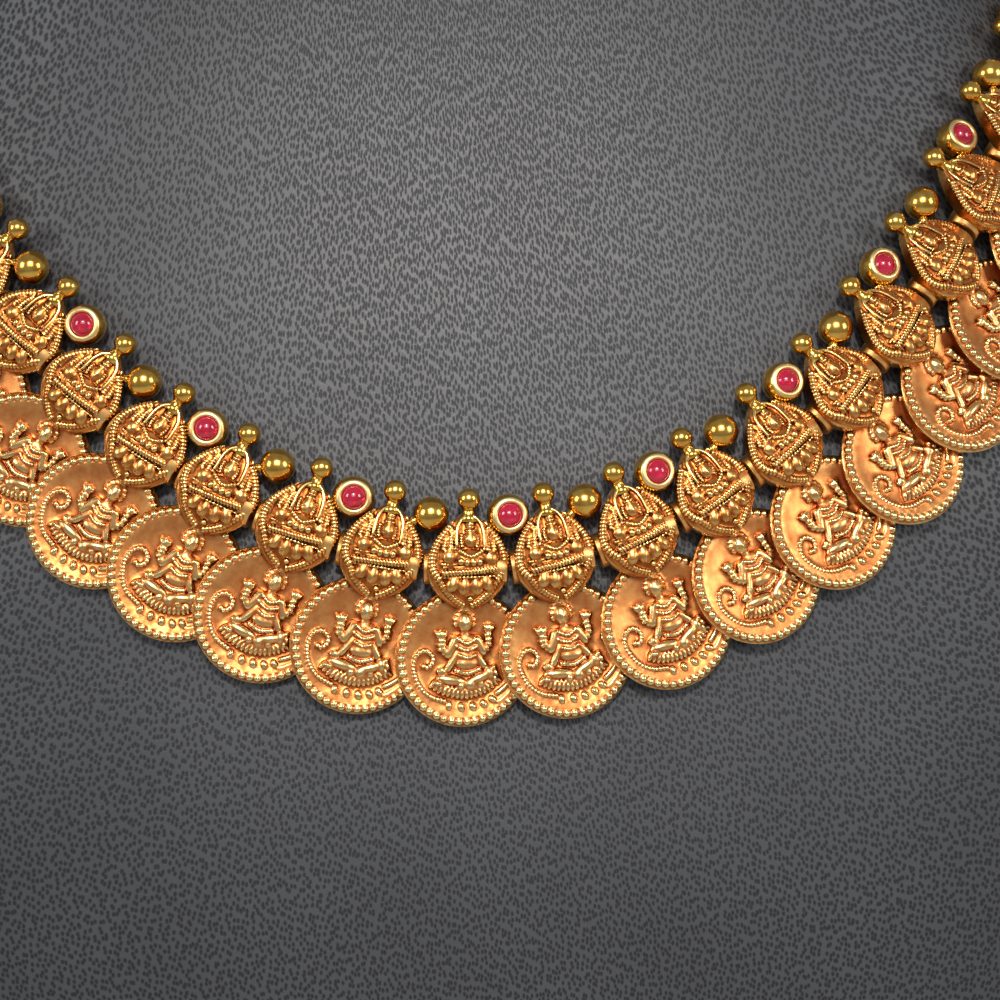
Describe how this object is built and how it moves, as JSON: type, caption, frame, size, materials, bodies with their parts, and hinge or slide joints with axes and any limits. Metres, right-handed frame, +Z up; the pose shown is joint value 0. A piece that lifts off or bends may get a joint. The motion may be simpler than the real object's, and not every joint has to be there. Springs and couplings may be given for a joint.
{
  "type": "gold coin necklace on a neck bust",
  "caption": "Coin necklace in antique gold: overlapping relief coins with figured shields, balls and ruby bezels, lying on a padded leatherette neck bust.",
  "frame": {"origin": "middle of the foot's underside, on the surface it stands on", "axes": "+Z up, -Y is the bust's front, +X to the right of someone who faces the front"},
  "size_m": [0.2, 0.122, 0.27],
  "materials": {
    "gold": "cast and chased gold with a coppery antique patina in its recesses",
    "plain_gold": "polished yellow gold",
    "ruby": "polished cabochon",
    "thread": "waxed cotton cord",
    "leatherette": "fine pebbled grain, satin"
  },
  "bodies": {
    "root": {"coin_link_01": "gold", "coin_link_02": "gold", "coin_link_03": "gold", "coin_link_04": "gold", "coin_link_05": "gold", "coin_link_06": "gold", "coin_link_07": "gold", "coin_link_08": "gold", "coin_link_09": "gold", "coin_link_10": "gold", "coin_link_11": "gold", "coin_link_12": "gold", "coin_link_13": "gold", "coin_link_14": "gold", "coin_link_15": "gold", "coin_link_16": "gold", "coin_link_17": "gold", "coin_link_18": "gold", "coin_link_19": "gold", "coin_link_20": "gold", "coin_link_21": "gold", "coin_link_22": "gold", "coin_link_23": "gold", "coin_link_24": "gold", "ruby_01": "ruby", "ruby_02": "ruby", "ruby_03": "ruby", "ruby_04": "ruby", "ruby_05": "ruby", "ruby_06": "ruby", "ruby_07": "ruby", "ruby_08": "ruby", "ruby_09": "ruby", "ruby_10": "ruby", "ruby_11": "ruby", "ruby_12": "ruby", "thread": "thread", "end_cap_left": "plain_gold", "end_cap_right": "plain_gold", "chain_left": "plain_gold", "chain_right": "plain_gold", "clasp": "plain_gold", "neck_bust": "leatherette", "foot": "leatherette"}
  },
  "joints": []
}
